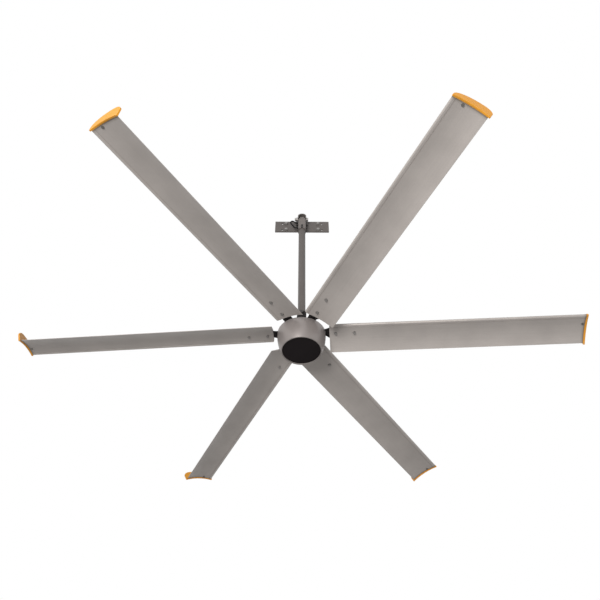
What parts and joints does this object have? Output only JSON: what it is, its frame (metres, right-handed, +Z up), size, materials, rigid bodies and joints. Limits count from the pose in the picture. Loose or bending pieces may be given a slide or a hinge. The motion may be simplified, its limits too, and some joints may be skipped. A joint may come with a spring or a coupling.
{
  "type": "industrial ceiling fan",
  "caption": "Large six-blade direct-drive ceiling fan on a short down rod, with swept winglets at the blade tips and a vertical beam plate.",
  "frame": {"origin": "centre of the four mounting bolts on the back face of the mounting plate, which lies on the beam", "axes": "+Z up along the down rod, +Y through the plate into the beam, +X along the plate"},
  "size_m": [3.02, 2.7466, 1.215],
  "materials": {
    "blade_metal": "satin anodised extrusion",
    "cover_paint": "silver paint, semi-gloss",
    "hanger_paint": "grey paint, satin",
    "arm_paint": "black powder coat",
    "winglet_plastic": "orange moulding",
    "cap_plastic": "black moulding",
    "fastener_zinc": "bright zinc plate",
    "shaft_steel": "turned steel",
    "motor_casting": "as cast and turned",
    "core_steel": "stacked laminations",
    "winding_copper": null,
    "magnet_grey": "nickel-plated magnets",
    "bearing_steel": "ground bearing steel",
    "bush_bronze": "plain bronze",
    "lead_rubber": "black sheath",
    "gland_plastic": "black nylon"
  },
  "bodies": {
    "mount": {"mounting_plate": "hanger_paint", "mounting_bolts": "fastener_zinc", "mounting_washers": "fastener_zinc", "hanger_bracket": "hanger_paint", "hanger_bolt": "fastener_zinc", "hanger_nut": "fastener_zinc", "hanger_washers": "fastener_zinc", "hanger_spacers": "fastener_zinc"},
    "drop": {"hanger_block": "hanger_paint", "hanger_bush": "bush_bronze", "block_bolts": "fastener_zinc", "block_nuts": "fastener_zinc", "lead_glands": "gland_plastic", "supply_lead": "lead_rubber", "inlet_grommet": "gland_plastic", "downrod": "hanger_paint", "motor_yoke": "arm_paint", "yoke_bolt": "fastener_zinc", "yoke_nut": "fastener_zinc", "motor_shaft": "shaft_steel", "shaft_circlip": "shaft_steel", "shaft_nuts": "fastener_zinc", "stator_carrier": "motor_casting", "stator_core": "core_steel", "stator_windings": "winding_copper", "bearing_inner_rings": "bearing_steel"},
    "rotor": {"bearing_outer_rings": "bearing_steel", "bearing_balls": "bearing_steel", "rotor_casing": "motor_casting", "rotor_magnets": "magnet_grey", "rotor_cover": "motor_casting", "casing_screws": "fastener_zinc", "arm_bolts": "fastener_zinc", "blade_bolts": "fastener_zinc", "blade_nuts": "fastener_zinc", "blade_washers": "fastener_zinc", "tip_screws": "fastener_zinc", "bowl_cover": "cover_paint", "end_cap": "cap_plastic", "bowl_standoffs": "fastener_zinc", "bowl_screws": "fastener_zinc", "blade_1": "blade_metal", "blade_2": "blade_metal", "blade_3": "blade_metal", "blade_4": "blade_metal", "blade_5": "blade_metal", "blade_6": "blade_metal", "blade_arm_1": "arm_paint", "blade_arm_2": "arm_paint", "blade_arm_3": "arm_paint", "blade_arm_4": "arm_paint", "blade_arm_5": "arm_paint", "blade_arm_6": "arm_paint", "winglet_1": "winglet_plastic", "winglet_2": "winglet_plastic", "winglet_3": "winglet_plastic", "winglet_4": "winglet_plastic", "winglet_5": "winglet_plastic", "winglet_6": "winglet_plastic"}
  },
  "joints": [
    {"name": "hanger_pivot", "type": "hinge", "parent": "mount", "child": "drop", "pos_m": [0, -0.045, 0.029], "axis": [1, 0, 0], "range_deg": [-4, 4]},
    {"name": "rotor_spin", "type": "hinge", "parent": "drop", "child": "rotor", "pos_m": [0, -0.045, -1.035], "axis": [0, 0, 1], "continuous": true}
  ]
}
